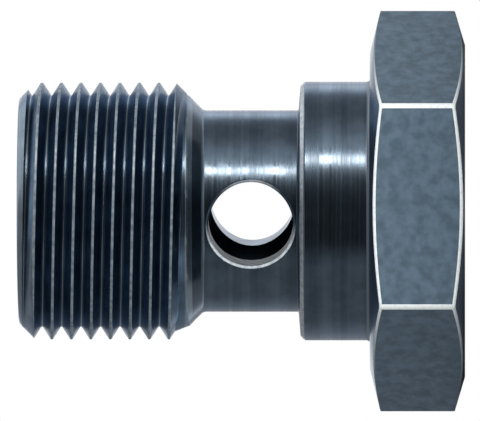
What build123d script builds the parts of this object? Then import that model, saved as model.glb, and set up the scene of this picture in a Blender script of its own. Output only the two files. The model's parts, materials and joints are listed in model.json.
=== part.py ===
from build123d import *
from math import cos, radians, sin, sqrt, tan
import os

# Banjo bolt (hollow bolt) with an M20 x 1.5 threaded end, turned and drilled from one
# hexagon steel bar. It stands on its head: the origin is the centre of the head's outer
# face, +Z runs along the bolt's axis to the threaded tip, two hexagon corners point
# along X and two flats face along Y. All lengths are in millimetres.

# Hexagon head
across_flats = 26.8            # 27 mm spanner size, less the bar's own tolerance
corner_radius = 0.45           # broken edge between neighbouring flats
head_height = 7.3              # outer face to the washer seat
outer_face_radius = 12.75      # flat circle left inside the outer chamfer
outer_chamfer_angle = 16.5     # from the outer face, in degrees
seat_radius = 12.2             # flat washer seat left inside the inner chamfer
seat_chamfer_angle = 14.0      # from the washer seat, in degrees

# Collar that centres the banjo fitting and its washer
collar_radius = 9.95
collar_end = 12.65             # rim of the collar's front face
collar_chamfer = 0.35
seat_fillet = 0.25             # where the collar meets the washer seat

# Waist, the oil gallery that the banjo fitting surrounds
waist_radius = 7.75
waist_start = 12.8             # the collar's front face leans in to this height
waist_end = 20.1
collar_foot_fillet = 0.12      # small, so that it stays clear of the cross hole
run_in_fillet = 0.5            # where the cone to the thread begins

# Threaded end, left at the crest cylinder of the M20 x 1.5 thread
crest_radius = 9.875           # 19.75 mm, inside the 6g limits for the major diameter
run_in_angle = 45.0            # cone from the waist up to the crest
tip_chamfer = 1.25             # at 45 degrees, past the thread's root
tip_round = 0.4                # rounded corner between the tip face and its chamfer
overall_length = 34.3

# Axial bore, drilled from the tip
bore_radius = 5.0
bore_floor = 12.8              # where the full diameter ends and the drill point begins
drill_point_angle = 118.0      # included angle of a standard twist drill
bore_mouth_chamfer = 0.6

# Cross hole, drilled right through the waist into the axial bore
cross_hole_radius = 3.25
cross_hole_height = 16.4
cross_hole_turn = 9.9          # angle between the hole's axis and the flats' normal
cross_hole_break = 0.2         # deburred rim on both openings

# Lengths that follow from the driving ones
corner_reach = across_flats / 2 / cos(radians(30))
stock_radius = corner_reach + 1.0
outer_chamfer_height = (stock_radius - outer_face_radius) * tan(radians(outer_chamfer_angle))
seat_chamfer_height = (stock_radius - seat_radius) * tan(radians(seat_chamfer_angle))
thread_start = waist_end + (crest_radius - waist_radius) / tan(radians(run_in_angle))
drill_point_height = bore_radius / tan(radians(drill_point_angle / 2))
cross_direction = (-sin(radians(cross_hole_turn)), -cos(radians(cross_hole_turn)), 0)
cross_plane = Plane(origin=(0, 0, cross_hole_height), z_dir=cross_direction)
same_place = 0.01              # how near a corner or an edge has to be to a named height


def corners_at(sketch, radius, height):
    """The corners of a half profile that lie at this radius and height."""
    spot = Vector(radius, 0, height)
    return sketch.vertices().filter_by(lambda corner: (Vector(*corner) - spot).length < same_place)


def is_outer_rim(edge):
    """True for the saddle-shaped rims that the cross hole leaves on the waist."""
    middle = edge @ 0.5
    on_waist = abs(sqrt(middle.X**2 + middle.Y**2) - waist_radius) < same_place
    return on_waist and edge.geom_type == GeomType.BSPLINE


# The turned envelope: half the lengthwise section of what the lathe leaves
with BuildSketch(Plane.XZ) as turned_profile:
    with BuildLine():
        Polyline(
            (0, 0),
            (outer_face_radius, 0),
            (stock_radius, outer_chamfer_height),
            (stock_radius, head_height - seat_chamfer_height),
            (seat_radius, head_height),
            (collar_radius, head_height),
            (collar_radius, collar_end - collar_chamfer),
            (collar_radius - collar_chamfer, collar_end),
            (waist_radius, waist_start),
            (waist_radius, waist_end),
            (crest_radius, thread_start),
            (crest_radius, overall_length - tip_chamfer),
            (crest_radius - tip_chamfer, overall_length),
            (0, overall_length),
            close=True,
        )
    make_face()
    fillet(corners_at(turned_profile.sketch, collar_radius, head_height), radius=seat_fillet)
    fillet(corners_at(turned_profile.sketch, waist_radius, waist_start), radius=collar_foot_fillet)
    fillet(corners_at(turned_profile.sketch, waist_radius, waist_end), radius=run_in_fillet)
    tip_corner = corners_at(turned_profile.sketch, crest_radius - tip_chamfer, overall_length)
    fillet(tip_corner, radius=tip_round)

# The axial bore: half the lengthwise section of what the drill and countersink remove
with BuildSketch(Plane.XZ) as bore_profile:
    with BuildLine():
        Polyline(
            (0, bore_floor - drill_point_height),
            (bore_radius, bore_floor),
            (bore_radius, overall_length - bore_mouth_chamfer),
            (bore_radius + bore_mouth_chamfer, overall_length),
            (0, overall_length),
            close=True,
        )
    make_face()

with BuildPart() as banjo_bolt:
    # Hexagon bar as long as the bolt, with its edges slightly rounded
    with BuildSketch(Plane.XY):
        RegularPolygon(across_flats / 2, side_count=6, major_radius=False)
        fillet(vertices(), radius=corner_radius)
    extrude(amount=overall_length)
    # Turning leaves the hexagon only on the head and chamfers both its ends
    revolve(turned_profile.sketch, axis=Axis.Z, mode=Mode.INTERSECT)
    # Bore from the tip
    revolve(bore_profile.sketch, axis=Axis.Z, mode=Mode.SUBTRACT)
    # Cross hole through both walls of the waist, with its outer rims deburred
    with BuildSketch(cross_plane):
        Circle(cross_hole_radius)
    extrude(amount=corner_reach, both=True, mode=Mode.SUBTRACT)
    chamfer(edges().filter_by(is_outer_rim), length=cross_hole_break)

banjo_bolt.part.label = "banjo_bolt"
os.makedirs("parts", exist_ok=True)
export_step(banjo_bolt.part, "parts/banjo_bolt.step")
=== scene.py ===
# %% [markdown]
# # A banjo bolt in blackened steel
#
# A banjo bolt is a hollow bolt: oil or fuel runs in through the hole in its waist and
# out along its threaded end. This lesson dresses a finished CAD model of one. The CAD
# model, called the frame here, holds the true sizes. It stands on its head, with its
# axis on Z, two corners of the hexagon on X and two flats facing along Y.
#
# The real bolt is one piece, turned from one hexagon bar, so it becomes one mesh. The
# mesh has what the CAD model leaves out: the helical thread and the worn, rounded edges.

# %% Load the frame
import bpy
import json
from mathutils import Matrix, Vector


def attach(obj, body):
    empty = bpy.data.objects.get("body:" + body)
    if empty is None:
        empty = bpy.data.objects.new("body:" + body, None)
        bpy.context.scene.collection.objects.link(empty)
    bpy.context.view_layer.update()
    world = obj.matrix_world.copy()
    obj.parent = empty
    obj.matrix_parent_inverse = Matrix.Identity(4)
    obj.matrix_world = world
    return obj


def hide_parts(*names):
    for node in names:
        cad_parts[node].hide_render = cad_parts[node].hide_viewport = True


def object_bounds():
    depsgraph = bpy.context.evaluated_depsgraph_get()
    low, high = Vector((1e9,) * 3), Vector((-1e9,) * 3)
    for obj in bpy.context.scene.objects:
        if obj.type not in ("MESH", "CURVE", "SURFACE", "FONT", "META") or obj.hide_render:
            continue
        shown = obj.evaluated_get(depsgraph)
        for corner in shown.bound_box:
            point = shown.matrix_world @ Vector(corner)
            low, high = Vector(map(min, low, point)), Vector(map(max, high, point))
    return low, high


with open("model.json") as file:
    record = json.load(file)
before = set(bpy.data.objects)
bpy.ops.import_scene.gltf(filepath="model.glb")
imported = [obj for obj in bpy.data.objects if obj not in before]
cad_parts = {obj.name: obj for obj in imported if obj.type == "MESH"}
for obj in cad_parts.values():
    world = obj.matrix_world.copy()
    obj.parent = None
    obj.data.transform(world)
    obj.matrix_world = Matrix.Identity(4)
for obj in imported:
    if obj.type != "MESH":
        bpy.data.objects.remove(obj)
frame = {"nodes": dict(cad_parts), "record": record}
cad_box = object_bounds()
print("solids in the frame:", sorted(frame["nodes"]))

# %% Tools that this lesson uses
import json
from math import asin, atan2, ceil, cos, degrees, pi, radians, sin, sqrt, tan

import bmesh
import bpy
from mathutils import Matrix, Vector

millimetre = 0.001


def in_mm(box):
    """A box in mm, rounded for printing."""
    return [[round(value / millimetre, 3) for value in corner] for corner in box]


print("CAD box in mm:", in_mm(cad_box))

# %% [markdown]
# ## Sizes
# Wherever the bolt meets another part, the frame's record states a mount with its
# radius and place. Those sizes are read from the record, so that the mesh can't drift
# away from the CAD model. The rest is repeated from the CAD model, in millimetres,
# because a record has no room for every chamfer.

# %% Sizes from the record
mounts = {mount["name"]: mount for mount in frame["record"]["mounts"]}


def mount_radius(name):
    """Radius of a round mount in mm."""
    return mounts[name]["dims"]["r_mm"]


def mount_height(name):
    """Height of a mount's reference point in mm."""
    return mounts[name]["pos_m"][2] / millimetre


flat_distance = round(cad_box[1].y / millimetre, 3)       # axis to flat
overall_length = round(cad_box[1].z / millimetre, 3)
head_height = mount_height("washer_seat")
collar_radius = mount_radius("collar")
crest_radius = mount_radius("thread")
bore_radius = mount_radius("axial_bore")
hole_radius = mount_radius("cross_hole")
hole_height = mount_height("cross_hole")
hole_axis = mounts["cross_hole"]["axis"]
near_hole_angle = atan2(hole_axis[1], hole_axis[0]) % (2 * pi)
print("cross hole leaves at", round(degrees(near_hole_angle), 1), "degrees from +X")

# %% Sizes repeated from the CAD model, in mm
corner_radius = 0.45
outer_face_radius = 12.75
outer_chamfer_slope = tan(radians(16.5))
seat_radius = 12.2
seat_chamfer_slope = tan(radians(14.0))
seat_fillet = 0.25
collar_end = 12.65
collar_chamfer = 0.35
waist_radius = 7.75
waist_start = 12.8
waist_end = 20.1
collar_foot_fillet = 0.12
run_in_fillet = 0.5
tip_chamfer = 1.25
tip_round = 0.4
bore_floor = 12.8
drill_point_height = bore_radius / tan(radians(118.0 / 2))
bore_mouth_chamfer = 0.6
hole_break = 0.2
print("the head is", head_height, "mm high and the waist", 2 * waist_radius, "mm across")

# %% [markdown]
# ## Columns
# Every surface of the bolt is laid out in columns, one above the other, at the same
# angles round the axis. Then the surfaces meet vertex to vertex and weld without gaps.
# A hexagon's rounded corner is less than two degrees wide, so the columns crowd
# together there and spread out over the flats.

# %% Angles of the columns
corner_steps = 4
flat_steps = 30
corner_centre = (flat_distance - corner_radius) / cos(radians(30))
corner_half_angle = atan2(corner_radius * sin(radians(30)),
                          corner_centre + corner_radius * cos(radians(30)))
columns = []
corner_columns = set()
for corner in range(6):
    middle = radians(60) * corner
    for step in range(corner_steps + 1):
        lean = radians(60) * (step / corner_steps - 0.5)
        if step < corner_steps:
            corner_columns.add(len(columns))
        columns.append(middle + atan2(corner_radius * sin(lean),
                                      corner_centre + corner_radius * cos(lean)))
    free_angle = radians(60) - 2 * corner_half_angle
    for step in range(1, flat_steps):
        columns.append(middle + corner_half_angle + free_angle * step / flat_steps)
columns.append(columns[0] + 2 * pi)          # the last column closes the round
print(len(columns) - 1, "columns")


def hexagon_radius(angle):
    """Distance from the axis to the side of the hexagon, in mm, rounded corners included."""
    from_corner = (angle + radians(30)) % radians(60) - radians(30)
    if abs(from_corner) < corner_half_angle:
        offset = corner_centre * sin(from_corner)
        return corner_centre * cos(from_corner) + sqrt(corner_radius ** 2 - offset ** 2)
    return flat_distance / cos(radians(30) - abs(from_corner))


# %% [markdown]
# ## Profiles
# A lathe leaves a part whose lengthwise section is a chain of straight lines with
# rounded corners. The helper below turns such a chain into points. Each corner carries
# its own rounding and the finish of the face that follows it, so one list describes
# both the shape and where each material goes.

# %% A chain of lines with rounded corners
def rounded_chain(corners, steps=4):
    """Points (radius, height) of a chain, and the finish between each pair of points.

    A corner is (radius, height, rounding, finish of the rounding, finish of what follows).
    """
    points, finishes = [], []
    for index, (radius, height, rounding, round_finish, finish) in enumerate(corners):
        here = Vector((radius, height))
        if rounding == 0:
            points.append(here)
        else:
            back = (Vector(corners[index - 1][:2]) - here).normalized()
            ahead = (Vector(corners[index + 1][:2]) - here).normalized()
            half_opening = back.angle(ahead) / 2
            centre = here + (back + ahead).normalized() * rounding / sin(half_opening)
            start = here + back * rounding / tan(half_opening) - centre
            turn = start.angle_signed(here + ahead * rounding / tan(half_opening) - centre)
            for step in range(steps + 1):
                points.append(centre + Matrix.Rotation(-turn * step / steps, 2) @ start)
            finishes += [round_finish] * steps
        finishes.append(finish)
    return points, finishes[:-1]


sample_corner = [(0, 0, 0, "", "plain"), (1, 0, 0.2, "round", "plain"), (1, 1, 0, "", "plain")]
print("a rounded corner has", len(rounded_chain(sample_corner)[0]), "points")

# %% [markdown]
# ## One mesh for one piece of steel
# The mesh could be cut together with Boolean modifiers, but their long thin faces catch
# the light badly on polished curves. Here each surface is a tidy grid of its own, and
# all grids go into one bmesh, whose doubled border vertices are merged at the end.

# %% The mesh and the helper that fills a grid
finish_names = ["turned", "thread", "flats", "faced", "edge", "worn", "bore"]
bolt_mesh = bmesh.new()


def place(radius, angle, height):
    """A point on the bolt in metres, from mm and radians."""
    return Vector((radius * cos(angle), radius * sin(angle), height)) * millimetre


def fill_grid(rows, finish_of):
    """Faces between rows of points; finish_of(row, column) names the finish or says None."""
    vertices = [[bolt_mesh.verts.new(point) for point in row] for row in rows]
    for row in range(len(rows) - 1):
        for column in range(len(rows[row]) - 1):
            finish = finish_of(row, column)
            if finish:
                near, far = vertices[row], vertices[row + 1]
                face = bolt_mesh.faces.new((near[column], near[column + 1],
                                            far[column + 1], far[column]))
                face.material_index = finish_names.index(finish)


print("finishes:", finish_names)

# %% [markdown]
# ## Head and collar
# Where the chamfer cones cut the hexagon they leave the curved edges that every bolt
# head has. In a column, the flat is one upright line whose ends follow the cones, so
# these curves come by themselves.
#
# The edges of a blackened head wear first. An open spanner has gripped this one by the
# two flats that face along Y, so there the edges are rubbed round. The wear fades towards
# the two corners on X. Their pale colour follows the same fade and is partly bare steel
# and partly a painted highlight: the light that a rounded edge would catch.

# %% Head, washer seat and collar
unworn_edge = 0.1          # mm of rounding between a flat and its chamfers
outer_edge_wear = 0.17     # what the spanner adds to it on the outer side
seat_edge_wear = 0.13      # and on the washer's side
wear_and_highlight_start = 2.0           # mm from the middle, along Y, where the wear and the painted highlight start
window_low = waist_start + collar_foot_fillet + 0.01


def spanner_wear(angle):
    """How far the spanner has rubbed the head's edges at this angle, 0 to 1."""
    towards_flat = abs(hexagon_radius(angle) * sin(angle))
    return max(0.0, (towards_flat - wear_and_highlight_start) / (flat_distance - wear_and_highlight_start)) ** 2


def head_corners(angle):
    """Corners of the section from the head's centre up to the waist, at this angle."""
    side = hexagon_radius(angle)
    wear_and_highlight = spanner_wear(angle)
    outer_end = (side - outer_face_radius) * outer_chamfer_slope
    seat_end = head_height - (side - seat_radius) * seat_chamfer_slope
    return [
        (0, 0, 0, "", "faced"),
        (outer_face_radius, 0, 0.15, "turned", "turned"),
        (side, outer_end, unworn_edge + outer_edge_wear * wear_and_highlight, "edge", "flats"),
        (side, seat_end, unworn_edge + seat_edge_wear * wear_and_highlight, "edge", "turned"),
        (seat_radius, head_height, 0.1, "turned", "faced"),
        (collar_radius, head_height, seat_fillet, "worn", "turned"),
        (collar_radius, collar_end - collar_chamfer, 0.2, "turned", "worn"),
        (collar_radius - collar_chamfer, collar_end, 0.1, "worn", "faced"),
        (waist_radius, waist_start, collar_foot_fillet, "turned", "turned"),
        (waist_radius, window_low, 0, "", "turned"),
    ]


head_columns = [rounded_chain(head_corners(angle)) for angle in columns]
head_finishes = head_columns[0][1]
head_rows = []
for row in range(len(head_finishes) + 1):
    section = [points[row] for points, finishes in head_columns]
    head_rows.append([place(radius, angle, height)
                      for (radius, height), angle in zip(section, columns)])


def head_finish(row, column):
    """The finish of a face on the head; the flats' upright corners get the pale edge finish too,
    wear and painted highlight.
    """
    if head_finishes[row] == "flats" and column in corner_columns:
        return "edge"
    return head_finishes[row]


fill_grid(head_rows, head_finish)
print("head and collar:", len(bolt_mesh.faces), "faces")

# %% [markdown]
# ## Waist, bore and cross hole
# The cross hole runs through both walls of the waist into the axial bore, so its rims
# are saddle curves. Each rim sits in a window of the grid: the window's border is a
# rectangle of grid points, and rings of points lead from it to the rim. Seen along the
# hole the rim is a plain circle, so the rings are worked out in that view and then laid
# on the cylinder.
#
# The near wall of the hole gets the rougher, darker finish of the bores, and its darker
# colour is painted shade. The far wall gets the smooth turned finish. The deburred rims
# get a pale finish of their own, and their brightness is partly a painted highlight.

# %% Windows round the cross hole
window_high = waist_end - run_in_fillet * tan(radians(22.5)) - 0.01
window_rows = 12
window_half_angle = radians(47)
window_heights = [window_low + (window_high - window_low) * row / window_rows
                  for row in range(window_rows + 1)]
hole_angles = [near_hole_angle, near_hole_angle - pi]
print("windows from", round(window_low, 2), "to", round(window_high, 2), "mm")


def window_columns(hole_angle):
    """First and last column of the window round an opening."""
    inside = [index for index, angle in enumerate(columns)
              if abs(angle - hole_angle) < window_half_angle]
    return inside[0], inside[-1]


def in_a_window(column):
    """True for a face's column that lies in one of the two windows."""
    return any(first <= column < last for first, last in map(window_columns, hole_angles))


def window_border(hole_angle):
    """Grid points round the window as (angle, height), anticlockwise seen from outside."""
    first, last = window_columns(hole_angle)
    low, high = window_heights[0], window_heights[-1]
    border = [(columns[index], low) for index in range(first, last)]
    border += [(columns[last], height) for height in window_heights[:-1]]
    border += [(columns[index], high) for index in range(last, first, -1)]
    border += [(columns[first], height) for height in reversed(window_heights[1:])]
    return border + border[:1]


def seen_along_hole(radius, hole_angle):
    """The border as (across, up) in the view along the hole."""
    return [(radius * sin(angle - hole_angle), height - hole_height)
            for angle, height in window_border(hole_angle)]


def on_cylinder(radius, hole_angle, across, up):
    """Lays a point of the view along the hole on a cylinder round the axis."""
    return place(radius, hole_angle + asin(across / radius), hole_height + up)


def window_rings(radius, rim_radius, hole_angle, ring_count=8):
    """Rings of points on a cylinder, from the window's border in to the rim of the hole."""
    rings = []
    for ring in range(ring_count + 1):
        outward = (1 - ring / ring_count) ** 1.5
        points = []
        for across, up in seen_along_hole(radius, hole_angle):
            rim = Vector((across, up)).normalized() * rim_radius
            spot = rim.lerp(Vector((across, up)), outward)
            points.append(on_cylinder(radius, hole_angle, spot.x, spot.y))
        rings.append(points)
    return rings


# %% The wall of the cross hole
break_steps = 4            # rings over the deburred rim


def wall_point(hole_angle, radius, clock, depth):
    """A point in the cross hole: depth is measured from the bolt's axis towards the opening."""
    along = Vector((cos(hole_angle), sin(hole_angle), 0))
    across = Vector((-sin(hole_angle), cos(hole_angle), 0))
    up = Vector((0, 0, 1))
    spot = along * depth + across * radius * cos(clock) + up * (hole_height + radius * sin(clock))
    return spot * millimetre


def wall_rings(hole_angle, wall_steps=8):
    """Rings from the deburred rim on the waist to the sharp rim on the bore."""
    outer = [atan2(up, across) for across, up in seen_along_hole(waist_radius, hole_angle)]
    inner = [atan2(up, across) for across, up in seen_along_hole(bore_radius, hole_angle)]
    rings = []
    for step in range(break_steps + 1):
        lean = radians(90) * step / break_steps
        radius = hole_radius + hole_break * (1 - sin(lean))
        rings.append([])
        for clock in outer:
            rim_depth = sqrt(waist_radius ** 2 - (radius * cos(clock)) ** 2)
            rings[-1].append(wall_point(hole_angle, radius, clock,
                                        rim_depth - hole_break * (1 - cos(lean))))
    for step in range(1, wall_steps + 1):
        inward = step / wall_steps
        rings.append([])
        for first, last in zip(outer, inner):
            start = sqrt(waist_radius ** 2 - (hole_radius * cos(first)) ** 2) - hole_break
            end = sqrt(bore_radius ** 2 - (hole_radius * cos(last)) ** 2)
            clock = first + ((last - first + pi) % (2 * pi) - pi) * inward
            rings[-1].append(wall_point(hole_angle, hole_radius, clock,
                                        start + (end - start) * inward))
    return rings


print("the hole's wall has", len(wall_rings(near_hole_angle)), "rings of points")

# %% Waist, bore and hole go into the mesh
for cylinder_radius, finish in ((waist_radius, "turned"), (bore_radius, "bore")):
    cylinder_rows = [[place(cylinder_radius, angle, height) for angle in columns]
                     for height in window_heights]
    fill_grid(cylinder_rows, lambda row, column: None if in_a_window(column) else finish)
# The near wall takes the darker bore finish: painted shade.
for hole_angle, wall_finish in zip(hole_angles, ("bore", "turned")):
    fill_grid(window_rings(waist_radius, hole_radius + hole_break, hole_angle),
              lambda row, column: "turned")
    fill_grid(window_rings(bore_radius, hole_radius, hole_angle), lambda row, column: "bore")
    fill_grid(wall_rings(hole_angle),
              lambda row, column: "worn" if row < break_steps else wall_finish)
print("with waist and cross hole:", len(bolt_mesh.faces), "faces")

# %% [markdown]
# ## Thread
# The thread is an M20 x 1.5: a 60 degree vee, 1.5 mm from crest to crest. A grid whose
# rows lie level would cut its sharp crests into steps, so the rows climb with the
# helix: each follows one line of the thread all the way round. This thread climbs to
# the left as the bolt is seen from the side.
#
# The rows are clamped where the thread starts and ends. The points that are pushed
# together there merge later. Where the cone or the tip's chamfer cuts the thread, the
# nearest point of each column moves on to the cut, which keeps the cut crisp.

# %% Sizes of the thread, in mm
pitch = 1.5
thread_climb = -1                  # 1 is a right-hand thread, -1 a left-hand one
root_radius = 8.9
flank_lean = radians(33)           # a little more than 30 degrees: the flanks are worn
crest_flat = 0.15
crest_round = 0.08
root_round = 0.075
first_crest = 22.03                # height of the lowest crest on the +X side
flank_run = (crest_radius - root_radius) * tan(flank_lean)
root_flat = pitch - crest_flat - 2 * flank_run
run_in_slope = 1.0                 # the cone rises at 45 degrees
thread_low = 20.9                  # below it, and above thread_high, the cones are plain
thread_high = overall_length - tip_chamfer + crest_radius - root_radius + 0.03
print("crest", crest_flat, "mm, root", round(root_flat, 3), "mm wide")

# %% One pitch of the thread, from crest to crest
turn_chain = rounded_chain([
    (crest_radius, 0, 0, "", "thread"),
    (crest_radius, crest_flat / 2, crest_round, "thread", "thread"),
    (root_radius, crest_flat / 2 + flank_run, root_round, "thread", "thread"),
    (root_radius, crest_flat / 2 + flank_run + root_flat, root_round, "thread", "thread"),
    (crest_radius, pitch - crest_flat / 2, crest_round, "thread", "thread"),
    (crest_radius, pitch, 0, "", "thread"),
], steps=3)[0]
longest_face = 0.2         # mm along the section
turn_rows = []
for start, end in zip(turn_chain, turn_chain[1:]):
    pieces = max(1, ceil((end - start).length / longest_face))
    turn_rows += [start.lerp(end, piece / pieces) for piece in range(pieces)]
print(len(turn_rows), "rows to a pitch")


# %% Where the thread runs out
def cone_limit(height):
    """Radius that the run-in cone and the tip's chamfer leave at this height."""
    cone = waist_radius + (height - waist_end) * run_in_slope
    chamfer = crest_radius - (height - (overall_length - tip_chamfer))
    return min(crest_radius, cone, chamfer)


def smooth(value):
    """0 below 0, 1 above 1 and a smooth curve between."""
    value = max(0.0, min(1.0, value))
    return value * value * (3 - 2 * value)


def run_out(angle, radius, height):
    """The last groove fades: the tool draws back and leaves a shallow floor up to the cone."""
    turned = degrees(angle)
    groove_height = first_crest + pitch / 2 + thread_climb * pitch * turned / 360
    if height > groove_height + pitch / 2:
        return radius
    settling = smooth((turned - 180) / 100)        # the floor sinks from 180 to 280 degrees
    rise = 0.25 - 0.15 * settling                  # mm above the root
    slope = 0.39 - 0.29 * settling                 # mm it climbs for each mm of height
    floor = root_radius + rise + slope * (height - groove_height)
    faded = max(radius, floor) if height > groove_height else floor
    fading_in = smooth((turned - 40) / 120)
    fading_out = smooth((360 - turned) / 30)
    return radius + (faded - radius) * fading_in * fading_out


cone_end = waist_end + (crest_radius - waist_radius) / run_in_slope
print("the cone reaches the crests at", round(cone_end, 2), "mm")


# %% The threaded end goes into the mesh
def thread_column(angle):
    """Points (radius, height) of the thread in one column, trimmed by the cones."""
    climb = thread_climb * pitch * angle / (2 * pi)
    turns_below = ceil((first_crest - thread_low) / pitch)
    turn_count = turns_below + ceil((thread_high - first_crest) / pitch) + 1
    points = []
    for turn in range(turn_count):
        for radius, offset in turn_rows:
            height = first_crest + (turn - turns_below) * pitch + offset + climb
            points.append([run_out(angle, radius, height), height])
    for start, end in zip(points, points[1:]):
        start_gap = start[0] - cone_limit(start[1])
        end_gap = end[0] - cone_limit(end[1])
        if start_gap * end_gap < 0:
            share = start_gap / (start_gap - end_gap)
            crossing = [start[index] + (end[index] - start[index]) * share for index in (0, 1)]
            nearest = start if share < 0.5 else end
            nearest[:] = crossing
    for point in points:
        if thread_low < point[1] < thread_high:
            point[0] = min(point[0], cone_limit(point[1]))
        else:
            point[1] = max(thread_low, min(thread_high, point[1]))
            point[0] = cone_limit(point[1])
    return points


thread_columns = [thread_column(angle) for angle in columns]
thread_rows = [[place(points[row][0], angle, points[row][1])
                for points, angle in zip(thread_columns, columns)]
               for row in range(len(thread_columns[0]))]
fill_grid(thread_rows, lambda row, column: "thread")
print("with thread:", len(bolt_mesh.faces), "faces")

# %% [markdown]
# ## Cone, tip and drilled bore
# Everything else is round, so one chain is enough for all columns.

# %% Round surfaces
cone_chain = rounded_chain([
    (waist_radius, window_high, 0, "", "turned"),
    (waist_radius, waist_end, run_in_fillet, "turned", "turned"),
    (cone_limit(thread_low), thread_low, 0, "", "turned"),
])
tip_chain = rounded_chain([
    (cone_limit(thread_high), thread_high, 0, "", "turned"),
    (crest_radius - tip_chamfer, overall_length, tip_round, "turned", "faced"),
    (bore_radius + bore_mouth_chamfer, overall_length, 0.06, "faced", "faced"),
    (bore_radius, overall_length - bore_mouth_chamfer, 0.06, "bore", "bore"),
    (bore_radius, window_high, 0, "", "bore"),
])
floor_chain = rounded_chain([
    (bore_radius, window_low, 0, "", "bore"),
    (bore_radius, bore_floor, 0, "", "bore"),
    (0, bore_floor - drill_point_height, 0, "", "bore"),
])
for chain, finishes in (cone_chain, tip_chain, floor_chain):
    rows = [[place(radius, angle, height) for angle in columns] for radius, height in chain]
    fill_grid(rows, lambda row, column: finishes[row])
print("with cone, tip and bore:", len(bolt_mesh.faces), "faces")

# %% Weld the grids into one closed skin
weld_distance = 0.0003 * millimetre
sliver_length = 0.00005 * millimetre
bmesh.ops.remove_doubles(bolt_mesh, verts=bolt_mesh.verts, dist=weld_distance)
bmesh.ops.dissolve_degenerate(bolt_mesh, edges=bolt_mesh.edges, dist=sliver_length)
bmesh.ops.recalc_face_normals(bolt_mesh, faces=bolt_mesh.faces)
open_edges = [edge for edge in bolt_mesh.edges if len(edge.link_faces) != 2]
triangles = sum(len(face.verts) - 2 for face in bolt_mesh.faces)
print(triangles, "triangles,", len(open_edges), "open edges")
mesh = bpy.data.meshes.new("banjo bolt")
bolt_mesh.to_mesh(mesh)
bolt_mesh.free()
mesh.shade_smooth()
mesh.set_sharp_from_angle(angle=radians(28))
bolt = bpy.data.objects.new("blackened_bolt", mesh)
bpy.context.collection.objects.link(bolt)

# %% Tie the bolt to the frame
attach(bolt, "root")
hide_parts("banjo_bolt")
print(bolt.name, "rides on the root and replaces banjo_bolt")

# %% [markdown]
# ## Materials
# All of the bolt is the same blackened steel, but each cut left its own surface, and
# that is what the eye reads: tool marks ring the turned parts, the flats keep the dull
# skin of the drawn bar, and the worn edges are pale, partly bare steel and partly a
# painted highlight. One material with masks could cover it all, but seven plain ones
# are easier to read, and each face of the mesh already knows which cut made it.

# %% Helpers for materials
blend_colours = {"data_type": "RGBA"}          # settings that many nodes share
multiply_add = {"operation": "MULTIPLY_ADD"}
in_space = {"noise_dimensions": "3D"}
noise_span = {"From_Min": 0.3, "From_Max": 0.7}       # holds nearly all values of a noise


def linear(hex_colour):
    """Linear RGBA of an sRGB hex colour."""
    channels = [int(hex_colour[start:start + 2], 16) / 255 for start in (1, 3, 5)]
    return [value / 12.92 if value <= 0.04045 else ((value + 0.055) / 1.055) ** 2.4
            for value in channels] + [1.0]


def add_node(tree, kind, settings=None, **inputs):
    """Adds a node; settings are its own values, inputs its sockets, as values or as sockets.

    A kind is Blender's name for the node without its "ShaderNode". An input goes by its
    socket's name, with _ for a space, or by its number, such as _0.
    """
    node = tree.nodes.new("ShaderNode" + kind)
    for name, value in (settings or {}).items():
        setattr(node, name, value)
    for name, value in inputs.items():
        number = name[1:]
        socket = node.inputs[int(number) if number.isdigit() else name.replace("_", " ")]
        if isinstance(value, bpy.types.NodeSocket):
            tree.links.new(value, socket)
        else:
            socket.default_value = value
    return node


def new_material(name):
    """A material with an empty tree."""
    material = bpy.data.materials.new(name)
    material.use_nodes = True
    material.node_tree.nodes.clear()
    return material, material.node_tree


def finish_material(material, shader):
    """Links the last shader to the material's output."""
    tree = material.node_tree
    add_node(tree, "OutputMaterial", Surface=shader.outputs[0])
    print(material.name, "has", len(tree.nodes), "nodes")


def finish_steel(material, pattern, depth, **surface):
    """Ends a steel: the pattern gives a relief, depth in mm, and surface sets the shader."""
    tree = material.node_tree
    relief = add_node(tree, "Bump", Strength=1.0, Distance=depth * millimetre,
                      Height=pattern).outputs[0]
    finish_material(material, add_node(tree, "BsdfPrincipled", Normal=relief, **surface))


print("#808080 is", round(linear("#808080")[0], 3), "in linear light")


# %% Where a point lies on the bolt
def bolt_coordinates(tree):
    """Sockets of a surface point in mm: the point, its distance from the axis, its height."""
    metres = add_node(tree, "TexCoord").outputs["Object"]
    point = add_node(tree, "VectorMath", {"operation": "SCALE"}, _0=metres,
                     Scale=1 / millimetre).outputs[0]
    level = add_node(tree, "VectorMath", {"operation": "MULTIPLY"}, _0=point,
                     _1=(1, 1, 0)).outputs[0]
    radius = add_node(tree, "VectorMath", {"operation": "LENGTH"}, _0=level).outputs["Value"]
    height = add_node(tree, "SeparateXYZ", Vector=point).outputs["Z"]
    return point, radius, height


print("patterns are sized in mm,", round(1 / millimetre), "to a metre")

# %% [markdown]
# ### Tool marks and oxide
# A turning tool leaves a fine groove that rings the bolt once for every turn. Blackening
# then grows a film of magnetite, blue-grey and never quite even. So nearly every finish
# of this bolt needs two patterns, and two helpers make them.
#
# The marks could be a wave texture, but a real tool chatters and no two marks are alike.
# A one-dimensional noise gives that: its single coordinate runs along the axis on round
# faces and along the radius on level ones, so the marks always ring the bolt. A feed of
# 0.1 mm a turn would be too fine to show, so the marks are drawn 0.25 mm wide.

# %% Patterns that several finishes share
mark_width = 0.25          # mm from one tool mark to the next
ring_width = 1.3           # mm across a band in which the tool cut a little better or worse
patch_width = 1.6          # mm across a patch of darker or lighter oxide
drift_scale = 0.12         # strays per mm: one in about 8 mm
drift_depth = 0.25         # mm that the marks stray by
level_share = 0.7          # marks on level faces are 1 / 0.7 times as wide


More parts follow.
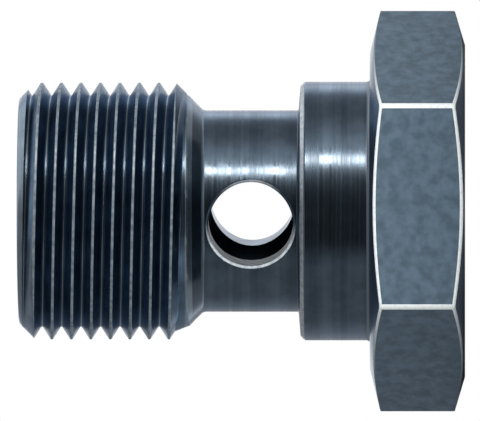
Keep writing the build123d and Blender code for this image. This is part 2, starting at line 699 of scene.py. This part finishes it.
def tool_marks(tree, point, radius, height, width=mark_width):
    """Noise in rings round the axis, 0 to 1, slightly out of true."""
    drift = add_node(tree, "TexNoise", in_space, Vector=point, Scale=drift_scale,
                     Detail=0.0).outputs[0]
    across = add_node(tree, "Math", multiply_add, _0=radius, _1=level_share,
                      _2=height).outputs[0]
    placed = add_node(tree, "Math", multiply_add, _0=drift, _1=drift_depth,
                      _2=across).outputs[0]
    return add_node(tree, "TexNoise", {"noise_dimensions": "1D"}, W=placed, Scale=1 / width,
                    Detail=3.0, Roughness=0.6).outputs[0]


def oxide_colour(tree, point, dark, light, width=patch_width, rings=None):
    """Oxide between two colours in soft patches with fine specks, and in rings if given."""
    patches = add_node(tree, "TexNoise", in_space, Vector=point, Scale=1 / width, Detail=5.0,
                       Roughness=0.62).outputs[0]
    if rings:
        patches = add_node(tree, "Mix", _0=0.5, _2=patches, _3=rings).outputs[0]
    share = add_node(tree, "MapRange", Value=patches, From_Min=0.38, From_Max=0.62).outputs[0]
    return add_node(tree, "Mix", blend_colours, _0=share, _6=linear(dark),
                    _7=linear(light)).outputs[2]


print("tool marks every", mark_width, "mm, oxide patches", patch_width, "mm across")

# %% [markdown]
# ### Turned blackened steel
# The collar, the waist, the cone and all chamfers come straight from the tool: smooth,
# with rings that break up each highlight along the axis. Magnetite on steel reflects
# like a dark metal, so it is metallic with a dark blue-grey colour, and a specular tint
# keeps its slanting reflections blue as well. The rings are rougher in their valleys,
# which streaks the highlight; the bump tilts it a degree or so.
#
# A film of oil lies on the oxide. It is a clear coat, which lays a crisp reflection over
# the soft one. Two places have a colour of their own. The cone, which faces down towards
# the head, is darker: painted shade. The tip, which faces up, is paler: painted light.

# %% Colours where painted light and shade change along the bolt
# The tip's paler colours are painted light from above.
tip_lit_colours = ("#7c8c9a", "#98a8b5")
tip_light_from = overall_length - 1.6         # mm: the tip's painted light begins here
tip_light_to = overall_length - 1.0           # and is fully so here
cone_shade_from = waist_end - 0.05               # mm: the cone's painted shade begins here
cone_shade_to = waist_end + 0.15
print("the tip is rubbed from", round(tip_light_from, 2), "mm up")

# %% Turned blackened steel
turned_steel, tree = new_material("turned_blackened_steel")
point, radius, height = bolt_coordinates(tree)
marks = tool_marks(tree, point, radius, height)
rings = tool_marks(tree, point, radius, height, width=ring_width)
oxide = oxide_colour(tree, point, "#4d5f70", "#6b7e90", rings=rings)
# The cone's darker colour is painted shade and the tip's paler one painted light.
cone_painted_shade = oxide_colour(tree, point, "#2f3b46", "#424f5c", rings=rings)
tip_painted_light = oxide_colour(tree, point, *tip_lit_colours, rings=rings)
into_cone_shade = add_node(tree, "MapRange", Value=height, From_Min=cone_shade_from,
                       From_Max=cone_shade_to).outputs[0]
into_tip_light = add_node(tree, "MapRange", Value=height, From_Min=tip_light_from,
                      From_Max=tip_light_to).outputs[0]
colour = add_node(tree, "Mix", blend_colours, _0=into_cone_shade, _6=oxide,
                  _7=cone_painted_shade).outputs[2]
colour = add_node(tree, "Mix", blend_colours, _0=into_tip_light, _6=colour,
                  _7=tip_painted_light).outputs[2]
fine_gloss = add_node(tree, "MapRange", Value=marks, **noise_span, To_Min=0.27,
                      To_Max=0.14).outputs[0]
broad_gloss = add_node(tree, "MapRange", Value=rings, From_Min=0.35, From_Max=0.65,
                       To_Min=0.06, To_Max=-0.03).outputs[0]
roughness = add_node(tree, "Math", {"operation": "ADD"}, _0=fine_gloss,
                     _1=broad_gloss).outputs[0]
finish_steel(turned_steel, marks, 0.003, Base_Color=colour, Metallic=1.0, Roughness=roughness,
             Specular_Tint=(0.7, 0.82, 1.0, 1.0), Coat_Weight=0.6, Coat_Roughness=0.16)

# %% [markdown]
# ### Thread
# The thread has the same blackened steel. Its flanks face each other and reflect each
# other again and again, which turns them nearly black without any help. The crests have
# rubbed in other threads and are a pale, rougher grey that is only partly metallic. That
# grey is partly wear and partly a painted highlight, so they stay light where the room
# around them is dark.
#
# Where the cone or the tip's chamfer cuts through the thread, a thin line just below the
# cut is pale and rougher: a painted highlight along that edge. The roots get the same
# pale steel, a painted highlight too. The material finds the line by the distance between
# the surface and the cutting cone. On the cut itself it takes the colours of the cone and
# of the tip, painted shade and painted light.

# %% Thread: how far each point lies below the cutting cones
cut_highlight_high, cut_highlight_low = 0.004, 0.10          # mm below the cut: the painted highlight lies between them
thread_steel, tree = new_material("thread_cut_blackened_steel")
point, radius, height = bolt_coordinates(tree)
marks = tool_marks(tree, point, radius, height, width=0.12)
chamfer_foot = crest_radius + overall_length - tip_chamfer
cone_radius = add_node(tree, "Math", {"operation": "ADD"}, _0=height,
                       _1=waist_radius - waist_end).outputs[0]
tip_radius = add_node(tree, "Math", {"operation": "SUBTRACT"}, _0=chamfer_foot,
                      _1=height).outputs[0]
cut_radius = add_node(tree, "Math", {"operation": "MINIMUM"}, _0=cone_radius,
                      _1=tip_radius).outputs[0]
below_cut = add_node(tree, "Math", {"operation": "SUBTRACT"}, _0=cut_radius,
                     _1=radius).outputs[0]
near_cut = add_node(tree, "MapRange", Value=below_cut, From_Min=cut_highlight_low,
                    From_Max=0.03).outputs[0]
off_the_cut = add_node(tree, "MapRange", Value=below_cut, From_Min=cut_highlight_high,
                       From_Max=0.012).outputs[0]
# A thin line just below each cut, painted pale as a highlight along that edge.
cut_highlight = add_node(tree, "Math", {"operation": "MULTIPLY"}, _0=near_cut,
                _1=off_the_cut).outputs[0]
print("a burr lies", cut_highlight_high, "to", cut_highlight_low, "mm below a cut")

# %% Thread: colours of cut, flank, root, crest and the painted highlight along a cut
into_tip_light = add_node(tree, "MapRange", Value=height, From_Min=tip_light_from,
                      From_Max=tip_light_to).outputs[0]
in_the_groove = add_node(tree, "MapRange", Value=below_cut, From_Min=0.01,
                         From_Max=0.12).outputs[0]
at_the_root = add_node(tree, "MapRange", Value=radius, From_Min=root_radius + 0.10,
                       From_Max=root_radius + 0.03).outputs[0]
at_the_crest = add_node(tree, "MapRange", Value=radius, From_Min=crest_radius - 0.05,
                        From_Max=crest_radius - 0.03).outputs[0]
# On the cut, the cone's darker colour is painted shade and the tip's paler one painted light.
cone_painted_shade = oxide_colour(tree, point, "#384551", "#485664")
tip_painted_light = oxide_colour(tree, point, *tip_lit_colours)
flank_oxide = oxide_colour(tree, point, "#485b6f", "#596f84")
# The crest's pale grey is partly wear and partly a painted highlight.
crest_wear_and_highlight = oxide_colour(tree, point, "#77848f", "#a4b0ba", width=0.5)
# The roots and the line along a cut get pale steel: a painted highlight.
painted_highlight_steel = linear("#8d99a3")
colour = add_node(tree, "Mix", blend_colours, _0=into_tip_light, _6=cone_painted_shade,
                  _7=tip_painted_light).outputs[2]
for share, new_colour in ((in_the_groove, flank_oxide), (at_the_root, painted_highlight_steel),
                          (cut_highlight, painted_highlight_steel), (at_the_crest, crest_wear_and_highlight)):
    colour = add_node(tree, "Mix", blend_colours, _0=share, _6=colour,
                      _7=new_colour).outputs[2]
print("the thread's colours take", len(tree.nodes), "nodes so far")

# %% Thread: gloss and relief
metallic = add_node(tree, "MapRange", Value=at_the_crest, To_Min=1.0, To_Max=0.65).outputs[0]
fine_gloss = add_node(tree, "MapRange", Value=marks, **noise_span, To_Min=0.3,
                      To_Max=0.18).outputs[0]
roughened = add_node(tree, "Math", {"operation": "MAXIMUM"}, _0=cut_highlight,
                     _1=at_the_crest).outputs[0]
roughness = add_node(tree, "Math", multiply_add, _0=roughened, _1=0.18,
                     _2=fine_gloss).outputs[0]
finish_steel(thread_steel, marks, 0.002, Base_Color=colour, Metallic=metallic,
             Roughness=roughness, Specular_Tint=(0.8, 0.88, 1.0, 1.0))

# %% [markdown]
# ### Flats
# The flats are the skin of the drawn hexagon bar. No tool has touched them, so they are
# dull and finely mottled where the oxide took differently from grain to grain. The oxide
# is thick and matt here and hides the metal, so the shader is hardly metallic. The
# mottling is drawn a little coarser than grain, or it wouldn't show.

# %% Drawn and blackened flats
drawn_steel, tree = new_material("drawn_blackened_steel")
point, radius, height = bolt_coordinates(tree)
mottle_width = 0.95        # mm across a darker or lighter patch
grain_width = 0.2          # mm across a grain
colour = oxide_colour(tree, point, "#4c5e6d", "#5f7384", width=mottle_width)
grain = add_node(tree, "TexNoise", in_space, Vector=point, Scale=1 / grain_width, Detail=4.0,
                 Roughness=0.6).outputs[0]
roughness = add_node(tree, "MapRange", Value=grain, **noise_span, To_Min=0.5,
                     To_Max=0.64).outputs[0]
finish_steel(drawn_steel, grain, 0.006, Base_Color=colour, Metallic=0.15, Roughness=roughness)

# %% [markdown]
# ### Faced ends
# The end of the head, the washer seat, the collar's shoulder and the tip are turned
# across, so their marks are rings inside each other. They are a little coarser than the
# marks on the round faces.

# %% Faced blackened steel
faced_steel, tree = new_material("faced_blackened_steel")
point, radius, height = bolt_coordinates(tree)
marks = tool_marks(tree, point, radius, height, width=0.3)
colour = oxide_colour(tree, point, "#516272", "#647687")
roughness = add_node(tree, "MapRange", Value=marks, **noise_span, To_Min=0.42,
                     To_Max=0.28).outputs[0]
finish_steel(faced_steel, marks, 0.008, Base_Color=colour, Metallic=1.0, Roughness=roughness)

# %% [markdown]
# ### Worn edges
# On the head's edges the oxide is rubbed off and the bare steel is scratched in all
# directions. Their colour is nearly white, rough and only partly metallic: partly bare
# steel, and partly a painted highlight for the light that a rounded edge catches. How pale
# it is grows with the distance from the bolt's middle along Y, as the rounding of the
# edges does: partly spanner wear, and partly painted highlight.
#
# The collar's edge is less worn. Some oxide is left on it, and it comes out pale grey.
# The corner between the washer seat and the collar is duller still, because only the
# washer's rim reaches it. The rims of the hole are pale, scratched steel. Their colour
# stays dark in the middle and grows paler with the distance from the bolt's middle along
# X: a painted highlight, the light that their rounding would catch.

# %% Scratches
def scratch_marks(tree, point, width, dull, bright, low, high):
    """Scratches width mm apart, and steel that turns from dull to bright as they rise."""
    scratches = add_node(tree, "TexNoise", in_space, Vector=point, Scale=1 / width,
                         Detail=5.0, Roughness=0.7).outputs[0]
    share = add_node(tree, "MapRange", Value=scratches, From_Min=low,
                     From_Max=high).outputs[0]
    return scratches, add_node(tree, "Mix", blend_colours, _0=share, _6=linear(dull),
                               _7=linear(bright)).outputs[2]


edge_scratches, rim_scratches = 0.25, 0.4       # mm from one scratch to the next
print("scratches every", edge_scratches, "mm on edges and", rim_scratches, "mm on rims")

# %% Bare steel on the head's edges
bare_steel_and_highlight, tree = new_material("bare_steel_painted_highlight")
point, radius, height = bolt_coordinates(tree)
# The nearly white scratched colour is partly bare steel and partly a painted highlight.
scratches, scratched = scratch_marks(tree, point, edge_scratches, "#dbe6ea", "#f6fcfd",
                                     0.30, 0.5)
along_y = add_node(tree, "SeparateXYZ", Vector=point).outputs["Y"]
towards_flat = add_node(tree, "Math", {"operation": "ABSOLUTE"}, _0=along_y).outputs[0]
# Paler towards the flats on Y: partly spanner wear, partly a painted highlight.
wear_and_highlight = add_node(tree, "MapRange", Value=towards_flat, From_Min=wear_and_highlight_start,
                From_Max=flat_distance).outputs[0]
wear_and_highlight = add_node(tree, "Math", {"operation": "POWER"}, _0=wear_and_highlight, _1=1.5).outputs[0]
colour = add_node(tree, "Mix", blend_colours, _0=wear_and_highlight, _6=linear("#65788a"),
                  _7=scratched).outputs[2]
metallic = add_node(tree, "MapRange", Value=wear_and_highlight, To_Min=0.6, To_Max=0.15).outputs[0]
roughness = add_node(tree, "MapRange", Value=scratches, To_Min=0.42, To_Max=0.58).outputs[0]
finish_steel(bare_steel_and_highlight, scratches, 0.004, Base_Color=colour, Metallic=metallic,
             Roughness=roughness)

# %% Pale steel on thin edges
worn_steel_and_rim_highlight, tree = new_material("worn_steel_rim_highlight")
point, radius, height = bolt_coordinates(tree)
rim_highlight_start = 1.1       # mm from the middle, along X, where the rims' painted highlight starts
rim_highlight_full = 2.9        # and where they are fully bright
scratches, scratched = scratch_marks(tree, point, rim_scratches, "#a8b4be", "#d6dfe5",
                                     0.36, 0.62)
at_the_seat = add_node(tree, "MapRange", Value=height, From_Min=head_height + 0.5,
                       From_Max=head_height + 0.4).outputs[0]
colour = add_node(tree, "Mix", blend_colours, _0=at_the_seat, _6=scratched,
                  _7=linear("#84919d")).outputs[2]
at_the_hole = add_node(tree, "MapRange", Value=height, From_Min=waist_start,
                       From_Max=waist_start + 0.1).outputs[0]
along_x = add_node(tree, "SeparateXYZ", Vector=point).outputs["X"]
from_middle = add_node(tree, "Math", {"operation": "ABSOLUTE"}, _0=along_x).outputs[0]
# The rims grow paler with the distance from the middle along X: a painted highlight.
rim_highlight = add_node(tree, "MapRange", Value=from_middle, From_Min=rim_highlight_start,
                    From_Max=rim_highlight_full).outputs[0]
rim_highlight_colour = add_node(tree, "Mix", blend_colours, _0=rim_highlight, _6=linear("#4d5f70"),
                      _7=scratched).outputs[2]
colour = add_node(tree, "Mix", blend_colours, _0=at_the_hole, _6=colour,
                  _7=rim_highlight_colour).outputs[2]
highlighted_rim = add_node(tree, "Math", {"operation": "MULTIPLY"}, _0=at_the_hole,
                      _1=rim_highlight).outputs[0]
metallic = add_node(tree, "MapRange", Value=highlighted_rim, To_Min=0.95, To_Max=0.25).outputs[0]
roughness = add_node(tree, "MapRange", Value=scratches, To_Min=0.3, To_Max=0.44).outputs[0]
finish_steel(worn_steel_and_rim_highlight, scratches, 0.003, Base_Color=colour, Metallic=metallic,
             Roughness=roughness)

# %% [markdown]
# ### Drilled bores
# A drill leaves coarser rings than a lathe tool, and chips scrape them. The rings and
# the oxide between them keep the wall dark and rough.

# %% Drilled blackened steel
drilled_steel, tree = new_material("drilled_blackened_steel")
point, radius, height = bolt_coordinates(tree)
marks = tool_marks(tree, point, radius, height, width=0.4)
# On the near wall of the cross hole this darker colour stands as painted shade.
colour = oxide_colour(tree, point, "#3f4c58", "#53616e")
roughness = add_node(tree, "MapRange", Value=marks, **noise_span, To_Min=0.5,
                     To_Max=0.34).outputs[0]
finish_steel(drilled_steel, marks, 0.012, Base_Color=colour, Metallic=1.0, Roughness=roughness)

# %% Give the mesh its finishes
finish_materials = {"turned": turned_steel, "thread": thread_steel, "flats": drawn_steel,
                    "faced": faced_steel, "edge": bare_steel_and_highlight, "worn": worn_steel_and_rim_highlight,
                    "bore": drilled_steel}
for finish in finish_names:
    mesh.materials.append(finish_materials[finish])
print("materials:", [material.name for material in mesh.materials])

# %% [markdown]
# ## Studio
# A blackened turned part shows the room more than its own colour, so the room is part
# of its look.
#
# The camera looks from the side and is turned by a quarter, so that the bolt lies across
# the picture with its head to the right. It is level with the floor, so it sees the
# floor neither from above nor from below. A long lens keeps the thread's teeth alike.

# %% Camera
aim = Vector((0.05, 0, 17.31)) * millimetre
camera_turn = radians(1.56)        # round the bolt towards -X
camera_drop = radians(0.68)        # below the point that it aims at
camera_distance = aim.z / sin(camera_drop)       # puts it level with the floor
zoom = 0.975                       # mm of focal length for each mm of distance
back = Vector((-sin(camera_turn) * cos(camera_drop), -cos(camera_turn) * cos(camera_drop),
               -sin(camera_drop)))
right = Vector((0, 0, -1))
right = (right - right.dot(back) * back).normalized()
up = back.cross(right)
turn = Matrix((right, up, back)).transposed().to_4x4()
camera_data = bpy.data.cameras.new("camera")
camera_data.sensor_width = 36.0
camera_data.lens = zoom * camera_distance / millimetre
camera = bpy.data.objects.new("camera", camera_data)
camera.matrix_world = Matrix.Translation(aim + back * camera_distance) @ turn
bpy.context.collection.objects.link(camera)
bpy.context.scene.camera = camera
print("camera", round(camera_distance, 2), "m away with a lens of",
      round(camera_data.lens), "mm")

# %% [markdown]
# ### Floor
# The floor is a pale plate that keeps the bolt's shadow. Further out it fades to the
# white of the background. The strong lamps stand low and would leave it grey, so for the
# camera alone it glows a little: light that the bolt doesn't get.

# %% Floor
floor_half = 0.06                      # m from the middle to a side
fade_start, fade_end = 0.034, 0.055    # m from the fade's middle
to_fade_middle = (0.006, 0, 0)         # the fade's middle lies 6 mm towards -X
camera_glow = 0.5
corners = [(-floor_half, -floor_half, 0), (floor_half, -floor_half, 0),
           (floor_half, floor_half, 0), (-floor_half, floor_half, 0)]
floor_mesh = bpy.data.meshes.new("floor")
floor_mesh.from_pydata(corners, [], [(0, 1, 2, 3)])
floor = bpy.data.objects.new("floor", floor_mesh)
bpy.context.collection.objects.link(floor)
print("floor plate", round(2 * floor_half / millimetre), "mm wide")

# %% Pale floor that fades to white
pale_floor, tree = new_material("pale floor")
rays = add_node(tree, "LightPath").outputs
position = add_node(tree, "NewGeometry").outputs["Position"]
from_middle = add_node(tree, "VectorMath", {"operation": "ADD"}, _0=position,
                       _1=to_fade_middle).outputs[0]
reach = add_node(tree, "VectorMath", {"operation": "LENGTH"}, _0=from_middle).outputs["Value"]
fade = add_node(tree, "MapRange", {"interpolation_type": "SMOOTHSTEP"}, Value=reach,
                From_Min=fade_start, From_Max=fade_end).outputs[0]
seen = add_node(tree, "Math", {"operation": "MAXIMUM"}, _0=rays["Is Camera Ray"],
                _1=rays["Is Glossy Ray"]).outputs[0]
seen = add_node(tree, "Math", {"operation": "MAXIMUM"}, _0=seen,
                _1=rays["Is Transmission Ray"]).outputs[0]
white_share = add_node(tree, "Math", {"operation": "MULTIPLY"}, _0=fade, _1=seen).outputs[0]
glow_strength = add_node(tree, "Math", {"operation": "MULTIPLY"}, _0=rays["Is Camera Ray"],
                         _1=camera_glow).outputs[0]
matt = add_node(tree, "BsdfDiffuse", Color=(0.8, 0.8, 0.8, 1)).outputs[0]
glow = add_node(tree, "Emission", Color=(1, 1, 1, 1), Strength=glow_strength).outputs[0]
white = add_node(tree, "Emission", Color=(1, 1, 1, 1), Strength=1.0).outputs[0]
pale = add_node(tree, "AddShader", _0=matt, _1=glow).outputs[0]
shader = add_node(tree, "MixShader", Fac=white_share, _1=pale, _2=white)
finish_material(pale_floor, shader)
floor_mesh.materials.append(pale_floor)

# %% [markdown]
# ### Room
# On a turned part each direction round the axis shows as one line along it, so the room
# is drawn as a ramp round the upright axis: pale behind the bolt, where a slanting look
# along its sides goes, dark at the camera's side, and a soft band to the right. Steep
# directions are even, grey above and dark below. The camera sees plain white, and so
# does a look through clear glass. The steel mirrors the room instead, because in a white
# room all round it would look white itself.

# %% Directions in the room
world = bpy.data.worlds.new("studio")
bpy.context.scene.world = world
world.use_nodes = True
tree = world.node_tree
tree.nodes.clear()
direction = add_node(tree, "TexCoord").outputs["Generated"]
parts = add_node(tree, "SeparateXYZ", Vector=direction).outputs
to_camera = add_node(tree, "Math", {"operation": "MULTIPLY"}, _0=parts["Y"],
                     _1=-1.0).outputs[0]
azimuth = add_node(tree, "Math", {"operation": "ARCTAN2"}, _0=parts["X"],
                   _1=to_camera).outputs[0]
round_share = add_node(tree, "MapRange", Value=azimuth, From_Min=-pi, From_Max=pi).outputs[0]
steep_from, steep_to = 0.25, 0.5       # sine of the angle above or below level
steepness = add_node(tree, "Math", {"operation": "ABSOLUTE"}, _0=parts["Z"]).outputs[0]
steep = add_node(tree, "MapRange", {"interpolation_type": "SMOOTHSTEP"}, Value=steepness,
                 From_Min=steep_from, From_Max=steep_to).outputs[0]
print("the ramp fades from", round(degrees(asin(steep_from))), "to",
      round(degrees(asin(steep_to))), "degrees above and below level")

# %% Brightness of the room
# Degrees from the camera's side towards +X, and the brightness there; 1 is white paper.
room_light = {
    -180: 1.0, -175: 1.0, -172: 0.3, -155: 0.36, -140: 0.35, -114: 0.25, -50: 0.23,
    -30: 0.035, 10: 0.045, 25: 0.11, 36: 0.25, 46: 0.7, 62: 0.85, 77: 0.5, 92: 0.3,
    110: 0.27, 126: 0.37, 135: 0.95, 144: 1.3, 152: 0.82, 160: 0.75, 168: 0.8,
    172: 0.85, 175: 1.0, 180: 1.0,
}
dark_below, grey_above = 0.05, 0.28
room = add_node(tree, "ValToRGB", Fac=round_share)
ramp = room.color_ramp
while len(ramp.elements) > 1:
    ramp.elements.remove(ramp.elements[0])
ramp.elements[0].position = 0.0
for index, (degree, light) in enumerate(room_light.items()):
    element = ramp.elements[0] if index == 0 else ramp.elements.new((degree + 180) / 360)
    element.color = (light, light, light, 1)
above_and_below = add_node(tree, "MapRange", Value=parts["Z"], From_Min=-0.2, From_Max=0.2,
                           To_Min=dark_below, To_Max=grey_above).outputs[0]
room_colour = add_node(tree, "Mix", blend_colours, _0=steep, _6=room.outputs[0],
                       _7=above_and_below).outputs[2]
rays = add_node(tree, "LightPath").outputs
sees_white = add_node(tree, "Math", {"operation": "MAXIMUM"}, _0=rays["Is Camera Ray"],
                      _1=rays["Is Transmission Ray"]).outputs[0]
colour = add_node(tree, "Mix", blend_colours, _0=sees_white, _6=room_colour,
                  _7=(1, 1, 1, 1)).outputs[2]
background = add_node(tree, "Background", Color=colour, Strength=1.0).outputs[0]
add_node(tree, "OutputWorld", Surface=background)
bpy.context.scene.view_settings.view_transform = "Standard"
print("room ramp with", len(room_light), "stops")

# %% [markdown]
# ### Lamps
# The key strip is narrow and upright, a little warm, and draws the one bright line along
# the collar, the waist and the thread. The top light is large and weak. The front fill
# gives the matt flats and the worn edges their light. It isn't mirrored, or the polished
# steel would show it as a white card. Together the lamps and the room reach the level at
# which a matt colour comes out about as it is written.

# %% Lamps
def softbox(name, azimuth, elevation, distance, width, height, brightness,
            colour="#ffffff", mirrored=True):
    """A rectangular lamp aimed at the bolt; angles in degrees, lengths in metres.

    Brightness is its radiance, where white paper is 1.
    """
    lamp_data = bpy.data.lights.new(name, "AREA")
    lamp_data.shape = "RECTANGLE"
    lamp_data.size, lamp_data.size_y = width, height
    lamp_data.energy = brightness * pi * width * height
    lamp_data.color = linear(colour)[:3]
    lamp = bpy.data.objects.new(name, lamp_data)
    level = distance * cos(radians(elevation))
    middle = Vector((0, 0, 17 * millimetre))
    spot = middle + Vector((level * sin(radians(azimuth)), -level * cos(radians(azimuth)),
                            distance * sin(radians(elevation))))
    lamp.location = spot
    lamp.rotation_mode = "QUATERNION"
    lamp.rotation_quaternion = (middle - spot).to_track_quat("-Z", "Y")
    lamp.visible_camera = False
    lamp.visible_glossy = mirrored
    bpy.context.collection.objects.link(lamp)
    print(name, "gives", round(lamp_data.energy, 2), "W")


softbox("key strip", azimuth=45.5, elevation=0, distance=1.0, width=0.115, height=0.5,
        brightness=12.0, colour="#fff3e7")
softbox("top light", azimuth=125, elevation=54, distance=1.0, width=1.1, height=1.0,
        brightness=0.65)
softbox("front fill", azimuth=12, elevation=3, distance=1.0, width=0.7, height=0.6,
        brightness=8.0, mirrored=False)
